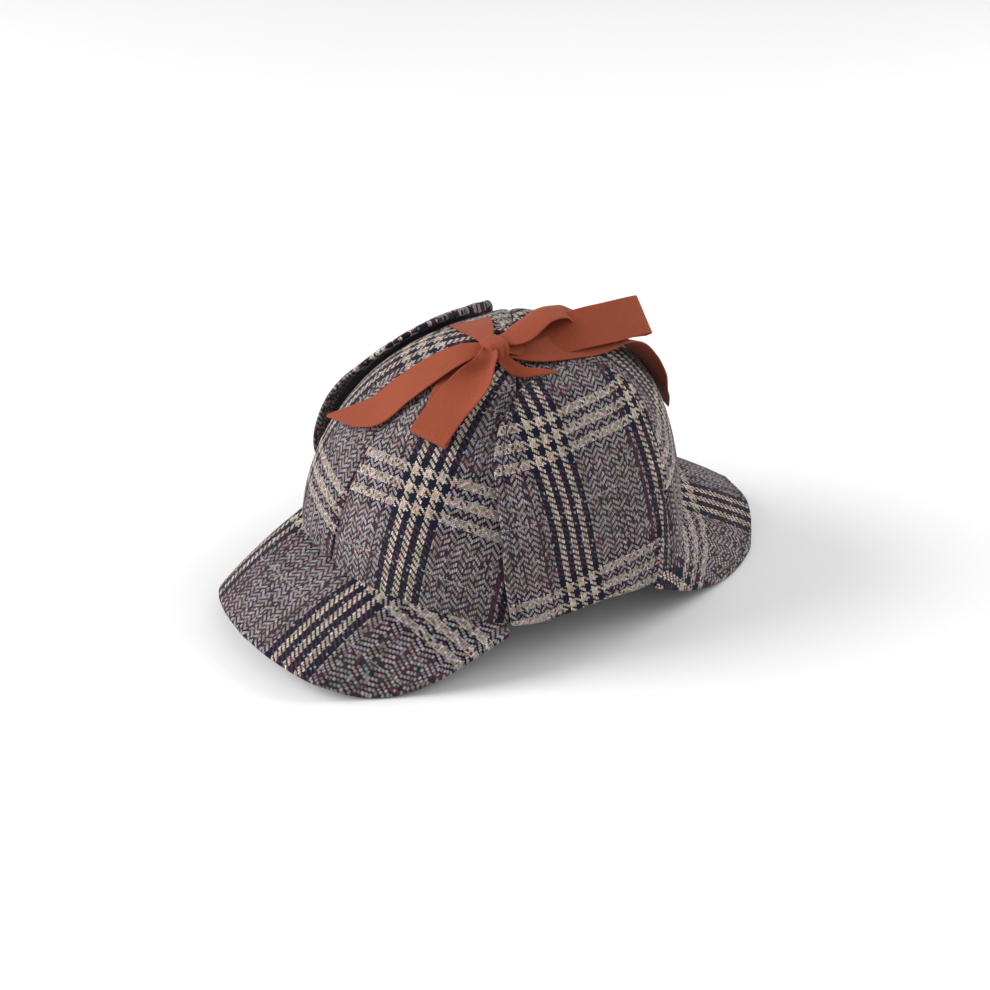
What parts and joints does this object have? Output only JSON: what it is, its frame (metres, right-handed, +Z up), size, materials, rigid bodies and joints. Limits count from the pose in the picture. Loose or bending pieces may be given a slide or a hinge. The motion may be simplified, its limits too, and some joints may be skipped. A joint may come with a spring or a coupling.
{
  "type": "deerstalker hat",
  "caption": "Soft plaid wool hat with a peak at the front and rear, and ear flaps folded up and tied over the crown with a ribbon bow.",
  "frame": {"origin": "on the surface the hat stands on, under the middle of the hat", "axes": "+Z up, the front peak points to -Y and the wearer's left is +X"},
  "size_m": [0.179, 0.289, 0.1473],
  "materials": {
    "plaid_wool": "woven wool, brown and grey plaid with cream and navy stripes",
    "rust_ribbon": "fine ribbed ribbon, matte rust"
  },
  "bodies": {
    "root": {"crown_panel_1": "plaid_wool", "crown_panel_2": "plaid_wool", "crown_panel_3": "plaid_wool", "crown_panel_4": "plaid_wool", "crown_panel_5": "plaid_wool", "crown_panel_6": "plaid_wool", "front_peak": "plaid_wool", "rear_peak": "plaid_wool", "ear_flap_left": "plaid_wool", "ear_flap_right": "plaid_wool", "ribbon_knot": "rust_ribbon", "ribbon_loop_front": "rust_ribbon", "ribbon_loop_rear": "rust_ribbon", "ribbon_tail_front": "rust_ribbon", "ribbon_tail_rear": "rust_ribbon", "ribbon_tie_left": "rust_ribbon", "ribbon_tie_right": "rust_ribbon"}
  },
  "joints": []
}
